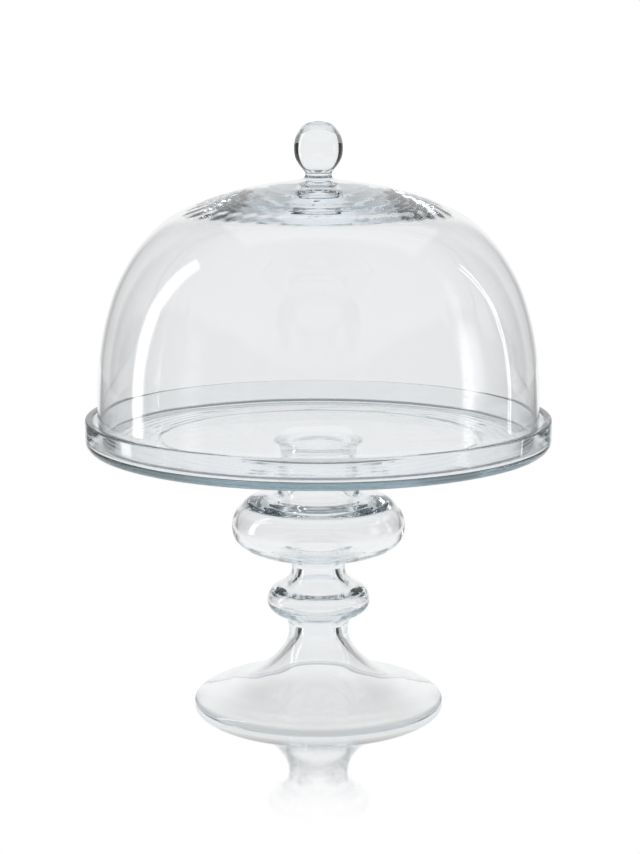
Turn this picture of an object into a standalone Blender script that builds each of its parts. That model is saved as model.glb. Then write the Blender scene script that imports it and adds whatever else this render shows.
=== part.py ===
"""Glass cake stand with a lift-off dome.

A shallow plate with an upright rim stands on a hollow blown pedestal: a collar, a wide flat
bulb, a small bulb and a spreading foot. A glass dome with a solid ball knob rests on the
plate's floor inside the rim and lifts straight up. Every piece is turned about the Z axis.
Sizes below are in millimetres and become metres when a mesh is made. The foot's underside
is at height 0.
"""

import math

import bmesh
import bpy
from mathutils import Vector

MM = 0.001
JOINT_GAP = 0.3

# Driving dimensions.
OVERALL_HEIGHT = 379.2
PLATE_DIAMETER = 300.0
PLATE_TOP = 190.7
PLATE_UNDERSIDE = 170.8
PLATE_FLOOR_THICKNESS = 5.2
PLATE_RIM_THICKNESS = 5.0
DOME_DIAMETER = 284.0
DOME_WALL = 3.0
DOME_CROWN = 341.5
DOME_CROWN_THICKNESS = 9.5
KNOB_DIAMETER = 31.2
COLLAR_DIAMETER = 48.6
COLLAR_FLARE_DIAMETER = 58.0
COLLAR_MOUTH_DIAMETER = 33.0
UPPER_BULB_DIAMETER = 112.6
LOWER_BULB_DIAMETER = 66.8
FOOT_DIAMETER = 162.6
FOOT_HOLLOW_DIAMETER = 158.0

# Heights where the fused pieces of the pedestal meet.
COLLAR_JOINT = 146.0
UPPER_NECK_JOINT = 90.0
LOWER_NECK_JOINT = 50.5

FLOOR_TOP = PLATE_UNDERSIDE + PLATE_FLOOR_THICKNESS
DOME_REST = FLOOR_TOP + JOINT_GAP

LARGE_SEGMENTS = 60
PEDESTAL_SEGMENTS = 40
KNOB_SEGMENTS = 28

DOME_GLASS = (0.93, 0.95, 0.97)
PLATE_GLASS = (0.86, 0.91, 0.94)
PEDESTAL_GLASS = (0.91, 0.93, 0.95)


def smooth(points, steps):
    """A centripetal Catmull-Rom curve through (radius, height) points, steps samples a span."""
    knots = [Vector(p) for p in points]
    knots = [2 * knots[0] - knots[1]] + knots + [2 * knots[-1] - knots[-2]]
    curve = []
    for a, b, c, d in zip(knots, knots[1:], knots[2:], knots[3:]):
        tb = math.sqrt((b - a).length)
        tc = tb + math.sqrt((c - b).length)
        td = tc + math.sqrt((d - c).length)
        for i in range(steps):
            t = tb + (tc - tb) * i / steps
            ab = a.lerp(b, t / tb)
            bc = b.lerp(c, (t - tb) / (tc - tb))
            cd = c.lerp(d, (t - tc) / (td - tc))
            abc = ab.lerp(bc, t / tc)
            bcd = bc.lerp(cd, (t - tb) / (td - tb))
            curve.append(tuple(abc.lerp(bcd, (t - tb) / (tc - tb))))
    curve.append(tuple(points[-1]))
    return curve


def arc(centre, radius, start, end, steps):
    """Points on a circle in the (radius, height) plane; angles in degrees, 0 pointing outward."""
    sweep = [math.radians(start + (end - start) * i / steps) for i in range(steps + 1)]
    return [(centre[0] + radius * math.cos(t), centre[1] + radius * math.sin(t)) for t in sweep]


def between(curve, top, bottom):
    """The stretch of a falling curve between two heights, cut exactly at both."""
    kept = []
    for a, b in zip(curve, curve[1:]):
        for height in (top, bottom):
            if a[1] > height > b[1]:
                share = (a[1] - height) / (a[1] - b[1])
                kept.append((a[0] + share * (b[0] - a[0]), height))
        if bottom <= b[1] <= top:
            kept.append(b)
    if bottom <= curve[0][1] <= top:
        kept.insert(0, curve[0])
    return kept


def glass(name, colour):
    """Clear glass with a faint cool tint."""
    material = bpy.data.materials.new(name)
    material.use_nodes = True
    shader = material.node_tree.nodes["Principled BSDF"]
    shader.inputs["Base Color"].default_value = (*colour, 1.0)
    shader.inputs["Roughness"].default_value = 0.02
    shader.inputs["Metallic"].default_value = 0.0
    shader.inputs["IOR"].default_value = 1.5
    shader.inputs["Transmission Weight"].default_value = 1.0
    return material


def turned(name, outline, segments, colour, base=0.0):
    """One closed solid made by spinning a (radius, height) outline about the Z axis.

    The outline runs from the axis to the axis, or is a ring that closes on itself. The
    object's origin is on the axis at the height base.
    """
    shape = bmesh.new()
    corners = [shape.verts.new((r * MM, 0.0, (z - base) * MM)) for r, z in outline]
    edges = [shape.edges.new(pair) for pair in zip(corners, corners[1:])]
    if outline[0][0] > 0:
        edges.append(shape.edges.new((corners[-1], corners[0])))
    bmesh.ops.spin(
        shape,
        geom=corners + edges,
        cent=(0.0, 0.0, 0.0),
        axis=(0.0, 0.0, 1.0),
        angle=math.tau,
        steps=segments,
        use_merge=True,
    )
    bmesh.ops.remove_doubles(shape, verts=shape.verts, dist=0.01 * MM)
    bmesh.ops.recalc_face_normals(shape, faces=shape.faces)
    mesh = bpy.data.meshes.new(name)
    shape.to_mesh(mesh)
    shape.free()
    mesh.shade_smooth()
    mesh.set_sharp_from_angle(angle=math.radians(40))
    mesh.materials.append(glass(f"{name}_glass", colour))
    piece = bpy.data.objects.new(name, mesh)
    piece.location = (0.0, 0.0, base * MM)
    bpy.context.collection.objects.link(piece)
    return piece


def dome_shell_outline():
    """The dome's glass: outer face, rounded rim, inner face up to the thick crown."""
    radius = DOME_DIAMETER / 2
    inner = radius - DOME_WALL
    lip = DOME_WALL / 2
    ceiling = DOME_CROWN - DOME_CROWN_THICKNESS
    outside = smooth(
        [
            (0, DOME_CROWN), (14, 341.4), (28, 340.0), (47, 336.5), (77, 327.0), (97.5, 316.5),
            (114.5, 299.5), (127.5, 278.0), (135, 257.0), (139.5, 235.0), (141.5, 215.0),
            (radius, 195.0), (radius, DOME_REST + lip),
        ],
        1,
    )
    rim = arc((radius - lip, DOME_REST + lip), lip, 0, -180, 4)
    inside = smooth(
        [
            (inner, DOME_REST + lip), (inner, 195.0), (138.5, 215.0), (136.5, 234.5), (132, 256.0),
            (124.7, 276.5), (112, 297.3), (95.5, 313.5), (77, 322.8), (56, 328.0), (30, 331.2),
            (0, ceiling),
        ],
        1,
    )
    return outside + rim[1:-1] + inside


def dome_knob_outline():
    """A solid ball on a short neck that spreads onto the crown."""
    belly = KNOB_DIAMETER / 2
    base = DOME_CROWN + JOINT_GAP
    ball = smooth(
        [
            (0, OVERALL_HEIGHT), (6.5, 378.0), (11.5, 374.2), (14.8, 368.0), (belly, 361.5),
            (14.6, 355.5), (11.2, 350.0), (8.8, 347.0), (8.4, 345.2), (9.4, 343.2), (12.5, base),
        ],
        2,
    )
    return ball + [(0, base)]


def plate_outline():
    """A flat floor with an upright rim, round lips and a rounded lower corner."""
    radius = PLATE_DIAMETER / 2
    inner = radius - PLATE_RIM_THICKNESS
    lip = 1.2
    cove = 2.5
    corner = 6.5
    return (
        [(0, FLOOR_TOP)]
        + arc((inner - cove, FLOOR_TOP + cove), cove, -90, 0, 3)
        + arc((inner + lip, PLATE_TOP - lip), lip, 180, 90, 2)
        + arc((radius - lip, PLATE_TOP - lip), lip, 90, 0, 2)
        + arc((radius - corner, PLATE_UNDERSIDE + corner), corner, 0, -90, 5)
        + [(0, PLATE_UNDERSIDE)]
    )


def pedestal_outside():
    """The pedestal's outer face, from the plate's underside down to the foot's edge."""
    collar = COLLAR_DIAMETER / 2
    upper = UPPER_BULB_DIAMETER / 2
    lower = LOWER_BULB_DIAMETER / 2
    foot = FOOT_DIAMETER / 2
    return smooth(
        [
            (COLLAR_FLARE_DIAMETER / 2, PLATE_UNDERSIDE - JOINT_GAP), (25.5, 166.5),
            (collar, 161.0), (collar, 155.0), (24.6, 143.0), (27.5, 139.5),
            (34, 138.6), (43, 137.0), (50.5, 131.5), (55, 124.5), (upper, 118.0), (54.8, 111.0),
            (49.5, 105.2), (41, 101.3), (30, 98.7), (21.5, 96.5), (17.9, 93.0), (17.5, 88.5),
            (19, 84.5), (23.5, 80.8), (29.2, 77.3), (32.5, 73.0), (lower, 69.0), (32.4, 64.5),
            (29, 60.8), (23.5, 57.8), (20.3, 54.5), (19.3, 50.5), (19.6, 46.0), (21, 41.0),
            (24.2, 35.5), (29.3, 29.6), (36.8, 23.4), (46.5, 17.8), (57.5, 13.4), (68.5, 10.2),
            (75.5, 7.5), (79.8, 4.5), (foot, 1.8), (80.6, 0.0),
        ],
        1,
    )


def pedestal_bore():
    """The inner face of the pedestal, open at the collar's top and under the foot."""
    return smooth(
        [
            (COLLAR_MOUTH_DIAMETER / 2, PLATE_UNDERSIDE - JOINT_GAP), (19.5, 166.0),
            (20.3, 158.0), (19, 147.0), (19, 140.0), (22.5, 134.2), (28, 131.8), (34, 131.5),
            (40, 131.9), (45.5, 130.6), (50.3, 126.2), (52.7, 118.0), (50.5, 111.5),
            (43, 106.3), (31, 103.3), (19, 100.8), (12.6, 96.8), (10.7, 92.0), (10.9, 88.5),
            (12.3, 84.0), (16, 78.5), (21.5, 75.0), (27, 72.8), (29.6, 70.5), (30.1, 68.0),
            (28, 65.2), (23, 63.4), (16, 61.5), (12, 57.5), (10.7, 53.0), (11.2, 48.5),
            (13.2, 43.5), (17, 37.0), (21.5, 31.0), (28, 24.5), (37, 18.3), (48, 13.0),
            (58, 9.3), (68, 6.2), (75, 3.6), (78.2, 1.6), (FOOT_HOLLOW_DIAMETER / 2, 0.0),
        ],
        1,
    )


def pedestal_piece(name, top, bottom):
    """The part of the pedestal between two heights, a hollow ring of glass."""
    outside = between(pedestal_outside(), top, bottom)
    inside = between(pedestal_bore(), top, bottom)
    return turned(name, outside + inside[::-1], PEDESTAL_SEGMENTS, PEDESTAL_GLASS)


def build_stand():
    """The plate and the four fused pieces of its pedestal."""
    half = JOINT_GAP / 2
    turned("plate", plate_outline(), LARGE_SEGMENTS, PLATE_GLASS)
    pedestal_piece("stem_collar", PLATE_UNDERSIDE - JOINT_GAP, COLLAR_JOINT + half)
    pedestal_piece("upper_bulb", COLLAR_JOINT - half, UPPER_NECK_JOINT + half)
    pedestal_piece("lower_bulb", UPPER_NECK_JOINT - half, LOWER_NECK_JOINT + half)
    pedestal_piece("foot", LOWER_NECK_JOINT - half, 0.0)


def build_dome():
    """The dome and its knob, on an empty that stands on the lift's axis."""
    lift_axis = bpy.data.objects.new("dome_lift_axis", None)
    lift_axis.location = (0.0, 0.0, DOME_REST * MM)
    bpy.context.collection.objects.link(lift_axis)
    shell = turned("dome_shell", dome_shell_outline(), LARGE_SEGMENTS, DOME_GLASS, DOME_REST)
    knob = turned("dome_knob", dome_knob_outline(), KNOB_SEGMENTS, DOME_GLASS, DOME_REST)
    for piece in (shell, knob):
        piece.parent = lift_axis
        piece.location = (0.0, 0.0, 0.0)


for existing in list(bpy.data.objects):
    bpy.data.objects.remove(existing, do_unlink=True)
build_stand()
build_dome()
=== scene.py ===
"""Looks of the glass cake stand with a lift-off dome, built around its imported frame."""

import math

import bpy
import numpy as np
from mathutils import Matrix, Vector


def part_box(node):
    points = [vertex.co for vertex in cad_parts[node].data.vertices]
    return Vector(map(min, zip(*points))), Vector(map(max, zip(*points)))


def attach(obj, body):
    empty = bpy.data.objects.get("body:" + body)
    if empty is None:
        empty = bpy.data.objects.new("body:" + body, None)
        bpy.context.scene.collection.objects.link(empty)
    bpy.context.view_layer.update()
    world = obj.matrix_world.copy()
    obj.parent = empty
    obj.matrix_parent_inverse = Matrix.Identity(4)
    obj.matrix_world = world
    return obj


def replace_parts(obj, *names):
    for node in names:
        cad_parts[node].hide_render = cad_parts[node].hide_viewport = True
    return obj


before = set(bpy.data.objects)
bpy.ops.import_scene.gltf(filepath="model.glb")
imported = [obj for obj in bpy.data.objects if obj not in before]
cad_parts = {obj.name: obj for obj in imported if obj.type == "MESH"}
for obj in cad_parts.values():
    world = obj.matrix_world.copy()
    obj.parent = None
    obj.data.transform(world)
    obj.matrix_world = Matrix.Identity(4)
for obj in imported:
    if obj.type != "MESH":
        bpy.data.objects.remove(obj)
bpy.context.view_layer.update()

MM = 0.001

# Mesh fineness.
SEGMENTS = 256
SPAN_STEPS = 10

# Rounded edges that the CAD solids show with a few flats.
RIM_LIP = 1.2 * MM
RIM_COVE = 2.5 * MM
RIM_THICKNESS = 5.0 * MM
PLATE_CORNER = 6.5 * MM
DOME_BEAD = 2.0 * MM

# Waves under the dome's crown: rings, slanted strokes round them, and a sag toward the front.
CROWN_WAVE = 0.06 * MM
CROWN_RING_LENGTH = 7.5 * MM
STROKE_COUNT = 44
STROKE_TWIST = 22 * MM
STROKE_SHARE = 0.35
CROWN_SAG = 1.0 * MM

# Waves under the plate: fine rings near its edge, a swirl and one groove.
PLATE_WAVE = 0.045 * MM
PLATE_RING_LENGTH = 6 * MM
SWIRL_LENGTH = 31 * MM
GROOVE_RADIUS = 103 * MM
GROOVE_WIDTH = 2.5 * MM
GROOVE_HEIGHT = 0.3 * MM

# Glass: the colour in its depth and how strongly it absorbs, per metre.
IOR = 1.5
DOME_COLOUR = (0.74, 0.85, 0.92)
DOME_DENSITY = 4.5
PLATE_COLOUR = (0.59, 0.72, 0.77)
PLATE_DENSITY = 8.0
PEDESTAL_COLOUR = (0.66, 0.78, 0.84)
PEDESTAL_DENSITY = 8.0

# Greyer bands at the surface. The dome's band is painted shade, the dark line at its resting
# edge, and grows downward, over heights above that edge; the others grow outward, over radii.
# The foot's band is painted shade as well; the plate's is a faint grey.
CLEAR = (0.985, 0.99, 0.995)
# Painted shade: a dark grey band at the dome's resting edge, in place of the dark line there.
DOME_EDGE_SHADE = (0.3, 0.34, 0.37)
DOME_EDGE_SHADE_SPAN = (2.3 * MM, 1.5 * MM)
PLATE_EDGE = (0.965, 0.975, 0.98)
PLATE_SPAN = (144 * MM, 148 * MM)
# Painted shade: a dark band at the foot's outer rim, in place of the dark line at its edge.
FOOT_RIM_SHADE = (0.42, 0.46, 0.49)
FOOT_RIM_SHADE_SPAN = (79 * MM, 81.3 * MM)

# Faint waviness all over the glass, as bump.
DOME_RIPPLE = 0.05 * MM
PLATE_RIPPLE = 0.01 * MM
PEDESTAL_RIPPLE = 0.02 * MM
RIPPLE_SCALE = 35.0

# Camera.
CAMERA_PLACE = (0.001, -1.4509, 0.4459)
CAMERA_PITCH = -10.28
CAMERA_LENS = 96.2

# Brightness of the studio as the glass shows it, and WHITE as the camera sees it. Azimuths
# are in degrees from straight behind the object, the same to both sides. Each pair is the
# start and end of a soft change.
BACK = 0.93
MIDDLE = 0.5
SIDE = 0.03
FRONT = 0.25
TOP = 0.15
WHITE = 1.06
TO_MIDDLE = (12, 24)
TO_SIDE = (40, 45)
TO_FRONT = (72, 95)
TO_TOP = (22, 45)
PANEL_END = (75, 85)

# Table, with lengths in metres. STRIP is half the width of the bright strip.
TABLE_RADIUS = 1.9
TABLE_DROP = 0.2 * MM
TABLE_LEVEL = 0.95
TABLE_SIDE = 0.35
STRIP = (0.42, 0.48)
STRIP_FROM = (25, 31)
PANEL_FROM = (0.3, 0.4)
SHADE = 0.83
SHADE_END = 0.98
SHADE_SPAN = (0.035, 0.075)
SHINE = 0.9
SHINE_SPAN = (0.06, 0.24)
SHINE_RISE = (0.085, 0.105)
SHINE_AT_FOOT = 0.35
SHINE_ROUGHNESS = 0.06


# ---------------------------------------------------------------- outlines from the frame


def section(node):
    """The ordered outline, as (radius, height) points in metres, of a turned CAD node."""
    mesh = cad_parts[node].data
    on_plane = {}
    for vertex in mesh.vertices:
        x, y, z = vertex.co
        if abs(y) < 1e-6 and x > -1e-6:
            on_plane[vertex.index] = (round(max(x, 0.0), 6), round(z, 6))
    links = {}
    for edge in mesh.edges:
        a, b = (on_plane.get(i) for i in edge.vertices)
        if a and b and a != b and not (a[0] == 0 and b[0] == 0):
            links.setdefault(a, set()).add(b)
            links.setdefault(b, set()).add(a)
    ends = [p for p, near in links.items() if len(near) == 1]
    path = [max(ends or links, key=lambda p: (p[1], p[0]))]
    while True:
        onward = [p for p in links[path[-1]] if p not in path]
        if not onward:
            return path
        path.append(max(onward))


def smooth(points, steps=SPAN_STEPS):
    """A centripetal Catmull-Rom curve through (radius, height) points."""
    knots = [Vector(p) for p in points]
    knots = [2 * knots[0] - knots[1]] + knots + [2 * knots[-1] - knots[-2]]
    curve = []
    for a, b, c, d in zip(knots, knots[1:], knots[2:], knots[3:]):
        tb = math.sqrt((b - a).length)
        tc = tb + math.sqrt((c - b).length)
        td = tc + math.sqrt((d - c).length)
        for i in range(steps):
            t = tb + (tc - tb) * i / steps
            ab = a.lerp(b, t / tb)
            bc = b.lerp(c, (t - tb) / (tc - tb))
            cd = c.lerp(d, (t - tc) / (td - tc))
            abc = ab.lerp(bc, t / tc)
            bcd = bc.lerp(cd, (t - tb) / (td - tb))
            curve.append(tuple(abc.lerp(bcd, (t - tb) / (tc - tb))))
    curve.append(tuple(points[-1]))
    return curve


def arc(centre, radius, start, end, steps=8):
    """Points on a circle in the (radius, height) plane; angles in degrees, 0 pointing outward."""
    sweep = [math.radians(start + (end - start) * i / steps) for i in range(steps + 1)]
    return [(centre[0] + radius * math.cos(t), centre[1] + radius * math.sin(t)) for t in sweep]


def line(start, end, steps):
    """Evenly spaced points from start to just short of end."""
    return [tuple(a + (b - a) * i / steps for a, b in zip(start, end)) for i in range(steps)]


def dome_outline():
    """Knob, crown, bell and lining as one outline from the knob's top, and the lining's start."""
    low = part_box("dome_shell")[0].z
    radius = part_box("dome_shell")[1].x
    shell = section("dome_shell")
    rim = [p for p in shell if p[1] < low + DOME_BEAD]
    bell = [p for p in shell[: shell.index(rim[0]) + 1] if p[0] > 20 * MM]
    bell[-1] = (radius, low + DOME_BEAD)
    lining = shell[shell.index(rim[-1]) :]
    bead = arc((radius - DOME_BEAD, low + DOME_BEAD), DOME_BEAD, 0, -180, 12)
    outside = smooth(section("dome_knob")[:-2] + bell) + bead[1:-1]
    bead_top = (lining[0][0], low + 6 * DOME_BEAD)
    return outside + smooth([bead[-1], bead_top] + lining[1:]), len(outside)


def plate_outline():
    """The plate's outline from the floor's centre, and the place where its underside starts."""
    low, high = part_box("plate")
    radius = high.x
    inner = radius - RIM_THICKNESS
    floor = section("plate")[0][1]
    upper_side = (
        line((0, floor), (inner - RIM_COVE, floor), 60)
        + arc((inner - RIM_COVE, floor + RIM_COVE), RIM_COVE, -90, 0)
        + arc((inner + RIM_LIP, high.z - RIM_LIP), RIM_LIP, 180, 90)
        + arc((radius - RIM_LIP, high.z - RIM_LIP), RIM_LIP, 90, 0)
        + arc((radius - PLATE_CORNER, low.z + PLATE_CORNER), PLATE_CORNER, 0, -90, 12)
    )
    flat = line((radius - PLATE_CORNER - 0.5 * MM, low.z), (0, low.z), 90)
    return upper_side + flat + [(0, low.z)], len(upper_side)


def pedestal_outline():
    """The pedestal's outer face, the foot's narrow resting ring and the bore, as a closed ring."""
    nodes = ("stem_collar", "upper_bulb", "lower_bulb", "foot")
    outside = []
    inside = []
    for node in nodes:
        outline = section(node)
        low = min(z for r, z in outline)
        corner = next(i for i, p in enumerate(outline) if p[1] < low + 0.01 * MM) + 1
        first = 0 if node == nodes[0] else 1
        last = None if node == nodes[-1] else -1
        outside += outline[:corner][first:last]
        inside += outline[corner:][::-1][first:last]
    return smooth(outside) + smooth(inside)[::-1]


# ---------------------------------------------------------------- turned glass


def step(value, low, high):
    """0 at low, 1 at high and a smooth change between them; low may be the larger."""
    t = min(max((value - low) / (high - low), 0.0), 1.0)
    return t * t * (3 - 2 * t)


def crown_waves(r, turn):
    """Rings and slanted strokes under the crown, which is also thicker toward the front."""
    wander = 0.5 * np.sin(2 * turn + 0.6) + 0.35 * np.sin(5 * turn + 2.1)
    rings = np.sin(math.tau * r / CROWN_RING_LENGTH + wander)
    rings = rings * step(r, 10 * MM, 24 * MM) * step(r, 84 * MM, 50 * MM)
    strokes = np.sin(STROKE_COUNT * turn + math.tau * r / STROKE_TWIST)
    strokes = strokes * step(r, 45 * MM, 60 * MM) * step(r, 96 * MM, 84 * MM)
    front = (0.5 - 0.5 * np.sin(turn)) ** 3
    sag = CROWN_SAG * front * step(r, 90 * MM, 76 * MM)
    return CROWN_WAVE * (rings + STROKE_SHARE * strokes) - sag


def plate_waves(r, turn):
    """Fine rings near the plate's edge, a faint swirl further in and one groove."""
    wander = 1.2 * np.sin(2 * turn + 1.0) + 0.7 * np.sin(5 * turn)
    rings = np.sin(math.tau * r / PLATE_RING_LENGTH + wander) * (0.6 + 0.4 * np.cos(2 * turn))
    rings = rings * step(r, 84 * MM, 112 * MM) * step(r, 141 * MM, 134 * MM)
    across = r * np.cos(turn + 0.6)
    along = r * np.sin(turn + 0.6)
    swirl = np.sin(math.tau * (across + 12 * MM * np.sin(along / (11 * MM))) / SWIRL_LENGTH)
    swirl = swirl * step(r, 36 * MM, 90 * MM) * step(r, 140 * MM, 128 * MM)
    from_groove = r - GROOVE_RADIUS - 2 * MM * np.sin(turn + 0.5)
    groove = GROOVE_HEIGHT * np.exp(-((from_groove / GROOVE_WIDTH) ** 2))
    return PLATE_WAVE * (1.4 * rings + 0.6 * swirl) + groove


def turned(name, outline, waves=None, waves_from=0):
    """A closed surface made by turning an outline that starts and ends on the axis, or a ring.

    waves gives the height that each point gains, from its radius and its turn about the
    axis, for the points of the outline from waves_from onward.
    """
    turn = np.arange(SEGMENTS) * math.tau / SEGMENTS
    points = []
    starts = []
    for i, (r, z) in enumerate(outline):
        starts.append(len(points))
        if r < 1e-7:
            points.append((0.0, 0.0, z))
            continue
        heights = np.full(SEGMENTS, z, float)
        if waves and i >= waves_from:
            heights += waves(r, turn)
        points += np.stack([r * np.cos(turn), r * np.sin(turn), heights], axis=1).tolist()
    faces = []
    count = len(outline)
    closed = outline[0][0] > 1e-7
    for i in range(count if closed else count - 1):
        a = starts[i]
        b = starts[(i + 1) % count]
        first_pole = outline[i][0] < 1e-7
        last_pole = outline[(i + 1) % count][0] < 1e-7
        for k in range(SEGMENTS):
            n = (k + 1) % SEGMENTS
            if first_pole:
                faces.append((a, b + k, b + n))
            elif last_pole:
                faces.append((a + k, b, a + n))
            else:
                faces.append((a + k, b + k, b + n, a + n))
    mesh = bpy.data.meshes.new(name)
    mesh.from_pydata(points, [], faces)
    mesh.shade_smooth()
    mesh.validate()
    piece = bpy.data.objects.new(name, mesh)
    bpy.context.collection.objects.link(piece)
    return piece


# ---------------------------------------------------------------- node trees


class Wiring:
    """Short calls for building a node tree."""

    def __init__(self, tree, clear=True):
        self.tree = tree
        if clear:
            tree.nodes.clear()

    def node(self, kind, **settings):
        made = self.tree.nodes.new(kind)
        for key, value in settings.items():
            setattr(made, key, value)
        return made

    def put(self, socket, value):
        """Links another socket's value, or sets a constant."""
        if isinstance(value, bpy.types.NodeSocket):
            self.tree.links.new(value, socket)
        else:
            socket.default_value = value

    def math(self, operation, *values):
        made = self.node("ShaderNodeMath", operation=operation)
        for socket, value in zip(made.inputs, values):
            self.put(socket, value)
        return made.outputs[0]

    def times(self, first, *others):
        for other in others:
            first = self.math("MULTIPLY", first, other)
        return first

    def blend(self, share, first, second):
        """first where share is 0, second where it is 1."""
        rise = self.math("SUBTRACT", second, first)
        return self.math("MULTIPLY_ADD", share, rise, first)

    def ramp(self, value, span, from_value=0.0, to_value=1.0):
        """A smooth step from from_value to to_value as value goes along the span."""
        made = self.node("ShaderNodeMapRange", interpolation_type="SMOOTHSTEP")
        for socket, number in zip(made.inputs, (value, *span, from_value, to_value)):
            self.put(socket, number)
        return made.outputs[0]

    def split(self, coordinate):
        """The X, Y and Z of a texture coordinate."""
        made = self.node("ShaderNodeSeparateXYZ")
        self.put(made.inputs[0], self.node("ShaderNodeTexCoord").outputs[coordinate])
        return made.outputs

    def from_axis(self, x, y):
        square = self.math("MULTIPLY_ADD", x, x, self.math("MULTIPLY", y, y))
        return self.math("SQRT", square)

    def azimuth(self, x, y):
        """Degrees from straight behind the object, the same to both sides."""
        return self.math("DEGREES", self.math("ARCTAN2", self.math("ABSOLUTE", x), y))

    def finish(self, kind, surface):
        self.put(self.node(kind).inputs[0], surface)


def new_material(name, clear=True):
    material = bpy.data.materials.new(name)
    material.use_nodes = True
    return material, Wiring(material.node_tree, clear)


def glass(name, absorbed, density, ripple, band):
    """Clear glass with a colour in its depth, a faint waviness and a greyer band.

    band is the coordinate that it follows ("height" or "radius"), the span over which it
    grows in that coordinate, and its tint. On the dome's resting edge and the foot's rim
    that tint is painted shade.
    """
    material, w = new_material(name, clear=False)
    shader = w.tree.nodes["Principled BSDF"].inputs
    shader["Roughness"].default_value = 0.0
    shader["IOR"].default_value = IOR
    shader["Transmission Weight"].default_value = 1.0
    follows, span, tint = band
    x, y, height = w.split("Object")
    along = {"height": height, "radius": w.from_axis(x, y)}[follows]
    # The band's tint: painted shade on the dome and the foot, a faint grey on the plate.
    mix = w.node("ShaderNodeMix", data_type="RGBA")
    w.put(mix.inputs[0], w.ramp(along, span))
    mix.inputs[6].default_value = (*CLEAR, 1.0)
    mix.inputs[7].default_value = (*tint, 1.0)
    w.put(shader["Base Color"], mix.outputs[2])
    noise = w.node("ShaderNodeTexNoise")
    w.put(noise.inputs["Vector"], w.node("ShaderNodeTexCoord").outputs["Object"])
    noise.inputs["Scale"].default_value = RIPPLE_SCALE
    noise.inputs["Detail"].default_value = 1.0
    bump = w.node("ShaderNodeBump")
    bump.inputs["Distance"].default_value = ripple
    w.put(bump.inputs["Height"], noise.outputs[0])
    w.put(shader["Normal"], bump.outputs[0])
    volume = w.node("ShaderNodeVolumeAbsorption")
    volume.inputs["Color"].default_value = (*absorbed, 1.0)
    volume.inputs["Density"].default_value = density
    w.put(w.tree.nodes["Material Output"].inputs["Volume"], volume.outputs[0])
    return material


# ---------------------------------------------------------------- studio


def camera():
    data = bpy.data.cameras.new("camera")
    data.lens = CAMERA_LENS
    data.sensor_width = 36.0
    data.clip_end = 100
    eye = bpy.data.objects.new("camera", data)
    eye.location = CAMERA_PLACE
    eye.rotation_euler = (math.radians(90 + CAMERA_PITCH), 0.0, 0.0)
    bpy.context.collection.objects.link(eye)
    bpy.context.scene.camera = eye


def studio_world():
    """A white studio whose darker sides show only in the glass.

    Rays that a glass surface has mirrored see the darker sides and top. Rays that only pass
    through the glass see the bright backdrop, and those that cross the knob's marker also
    see a dark panel on each side. The camera and the table's mirror see plain white.
    """
    world = bpy.data.worlds.new("studio")
    bpy.context.scene.world = world
    world.use_nodes = True
    w = Wiring(world.node_tree)
    x, y, z = w.split("Generated")
    azimuth = w.azimuth(x, y)
    height = w.math("DEGREES", w.math("ARCSINE", z))
    path = w.node("ShaderNodeLightPath").outputs

    level = w.ramp(azimuth, TO_MIDDLE, BACK, MIDDLE)
    level = w.blend(w.ramp(azimuth, TO_SIDE), level, SIDE)
    level = w.math("MULTIPLY_ADD", w.ramp(azimuth, TO_FRONT), FRONT - SIDE, level)
    level = w.blend(w.ramp(height, TO_TOP), level, TOP)

    near_knob = w.math("GREATER_THAN", path["Transparent Depth"], 0.5)
    panel = w.times(w.ramp(azimuth, TO_SIDE), w.ramp(azimuth, PANEL_END, 1.0, 0.0), near_knob)
    through = w.math("MULTIPLY_ADD", panel, SIDE - BACK, BACK)
    mirrored = w.math("GREATER_THAN", path["Glossy Depth"], 0.5)
    level = w.blend(mirrored, through, level)

    early = w.math("LESS_THAN", path["Ray Depth"], 2.5)
    from_table = w.times(early, w.math("SUBTRACT", 1.0, path["Is Singular Ray"]))
    straight = w.math("MAXIMUM", path["Is Camera Ray"], from_table)
    background = w.node("ShaderNodeBackground")
    background.inputs["Color"].default_value = (1.0, 1.0, 1.0, 1.0)
    w.put(background.inputs["Strength"], w.blend(straight, level, WHITE))
    w.finish("ShaderNodeOutputWorld", background.outputs[0])


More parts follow.
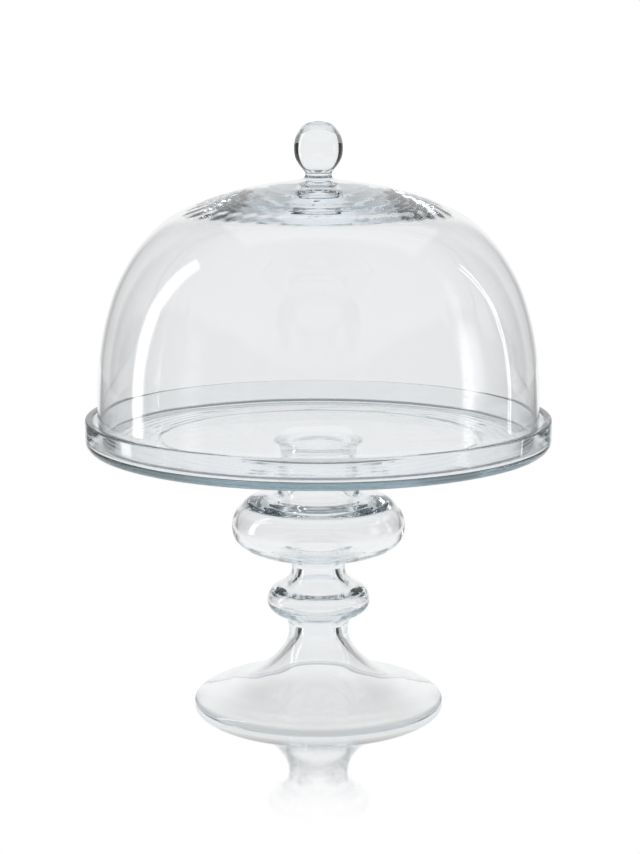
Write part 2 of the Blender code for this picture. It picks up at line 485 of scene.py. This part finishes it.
def table():
    """A pale table that mirrors the stand softly near its foot.

    To the camera it is white. Rays that have met glass see it a little darker, most of all
    under the foot's middle. Those mirrored in the glass also see it dark beside a bright
    strip that runs back from the object, and those that cross the knob's marker see it dark
    on both sides.
    """
    bpy.ops.mesh.primitive_circle_add(vertices=128, radius=TABLE_RADIUS, fill_type="NGON")
    top = bpy.context.object
    top.name = "table"
    top.location.z = -TABLE_DROP
    material, w = new_material("table")
    path = w.node("ShaderNodeLightPath").outputs
    x, y, z = w.split("Object")
    away = w.from_axis(x, y)
    azimuth = w.azimuth(x, y)

    mirrored = w.math("GREATER_THAN", path["Glossy Depth"], 0.5)
    beside = w.times(w.ramp(w.math("ABSOLUTE", x), STRIP), w.ramp(azimuth, STRIP_FROM), mirrored)
    near_knob = w.math("GREATER_THAN", path["Transparent Depth"], 0.5)
    panel = w.times(
        w.ramp(azimuth, TO_SIDE),
        w.ramp(azimuth, PANEL_END, 1.0, 0.0),
        w.ramp(away, PANEL_FROM),
        near_knob,
    )
    dark = w.times(w.math("MAXIMUM", beside, panel), 1.0 - TABLE_SIDE)
    level = w.times(w.ramp(away, SHADE_SPAN, SHADE, SHADE_END), TABLE_LEVEL)
    level = w.times(level, w.math("SUBTRACT", 1.0, dark))
    glow = w.node("ShaderNodeEmission")
    glow.inputs["Color"].default_value = (1.0, 1.0, 1.0, 1.0)
    w.put(glow.inputs["Strength"], w.blend(path["Is Camera Ray"], level, 1.0))

    mirror = w.node("ShaderNodeBsdfGlossy")
    mirror.inputs["Color"].default_value = (1.0, 1.0, 1.0, 1.0)
    mirror.inputs["Roughness"].default_value = SHINE_ROUGHNESS
    shine = w.ramp(away, SHINE_SPAN, SHINE, 0.0)
    shine = w.times(shine, w.ramp(away, SHINE_RISE, SHINE_AT_FOOT, 1.0), path["Is Camera Ray"])
    mix = w.node("ShaderNodeMixShader")
    for socket, value in zip(mix.inputs, (shine, glow.outputs[0], mirror.outputs[0])):
        w.put(socket, value)
    w.finish("ShaderNodeOutputMaterial", mix.outputs[0])
    top.data.materials.append(material)


def around(azimuth, distance, height):
    """A place at an azimuth in degrees, 0 behind the object and positive to the right."""
    a = math.radians(azimuth)
    return (distance * math.sin(a), distance * math.cos(a), height)


def softbox(name, place, size, strength, fade, facing=None):
    """A glowing panel that shows only as a reflection in the glass, with edges that fade."""
    bpy.ops.mesh.primitive_plane_add(size=1.0, location=place)
    panel = bpy.context.object
    panel.name = name
    panel.scale = (*size, 1.0)
    aim = Vector(facing or (-place[0], -place[1], 0.0))
    panel.rotation_euler = aim.to_track_quat("Z", "Y").to_euler()
    panel.visible_camera = False
    panel.visible_shadow = False
    material, w = new_material(name)
    level = strength
    for socket, length in zip(w.split("Object"), size):
        inward = w.times(w.math("SUBTRACT", 0.5, w.math("ABSOLUTE", socket)), length)
        level = w.times(level, w.ramp(inward, (0.0, fade)))
    path = w.node("ShaderNodeLightPath").outputs
    mirrored = w.math("GREATER_THAN", path["Glossy Depth"], 0.5)
    glow = w.node("ShaderNodeEmission")
    w.put(glow.inputs["Strength"], w.times(level, mirrored, path["Is Singular Ray"]))
    clear = w.node("ShaderNodeBsdfTransparent")
    both = w.node("ShaderNodeAddShader")
    w.put(both.inputs[0], clear.outputs[0])
    w.put(both.inputs[1], glow.outputs[0])
    w.finish("ShaderNodeOutputMaterial", both.outputs[0])
    panel.data.materials.append(material)


def knob_marker():
    """A clear ball round the knob at rest, so that the dark panels show in the knob alone.

    It is part of the studio, so it stays in place when the dome lifts.
    """
    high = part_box("dome_knob")[1]
    bpy.ops.mesh.primitive_uv_sphere_add(
        segments=48,
        ring_count=24,
        radius=high.x + 1.5 * MM,
        location=(0, 0, high.z - high.x),
    )
    ball = bpy.context.object
    ball.name = "knob_marker"
    material, w = new_material("knob_marker")
    w.finish("ShaderNodeOutputMaterial", w.node("ShaderNodeBsdfTransparent").outputs[0])
    ball.data.materials.append(material)


# ---------------------------------------------------------------- the three glass pieces

outline, lining_start = dome_outline()
dome = turned("glass_dome", outline, crown_waves, lining_start)
resting_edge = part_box("dome_shell")[0].z
# The dome's band is painted shade, a dark line at its resting edge.
band = ("height", [resting_edge + above for above in DOME_EDGE_SHADE_SPAN], DOME_EDGE_SHADE)
dome.data.materials.append(glass("dome_glass", DOME_COLOUR, DOME_DENSITY, DOME_RIPPLE, band))
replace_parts(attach(dome, "dome"), "dome_shell", "dome_knob")

outline, underside_start = plate_outline()
plate = turned("glass_plate", outline, plate_waves, underside_start)
band = ("radius", PLATE_SPAN, PLATE_EDGE)
plate.data.materials.append(glass("plate_glass", PLATE_COLOUR, PLATE_DENSITY, PLATE_RIPPLE, band))
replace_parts(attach(plate, "stand"), "plate")

pedestal = turned("glass_pedestal", pedestal_outline())
# The foot's band is painted shade, a dark line at its outer rim.
band = ("radius", FOOT_RIM_SHADE_SPAN, FOOT_RIM_SHADE)
pedestal.data.materials.append(
    glass("pedestal_glass", PEDESTAL_COLOUR, PEDESTAL_DENSITY, PEDESTAL_RIPPLE, band)
)
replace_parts(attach(pedestal, "stand"), "stem_collar", "upper_bulb", "lower_bulb", "foot")

# ---------------------------------------------------------------- studio and settings

camera()
studio_world()
table()
knob_marker()

# Each panel's place, width and height, strength, and how wide its edge fades.
softbox("left_box", around(-81.5, 0.892, 0.56), (0.175, 1.12), 4.0, 0.05)
softbox("right_box", around(72.0, 0.885, 0.445), (0.03, 0.87), 4.0, 0.008)
softbox("right_fill", around(99.0, 0.918, 0.33), (0.36, 0.5), 1.3, 0.16)
softbox("overhead_box", (0.14, 0.55, 1.35), (1.4, 1.06), 0.45, 0.04, facing=(0, 0, -1))

settings = bpy.context.scene
settings.view_settings.view_transform = "Standard"
settings.cycles.max_bounces = 40
settings.cycles.transmission_bounces = 40
settings.cycles.glossy_bounces = 24
settings.cycles.volume_bounces = 0
settings.cycles.use_denoising = True
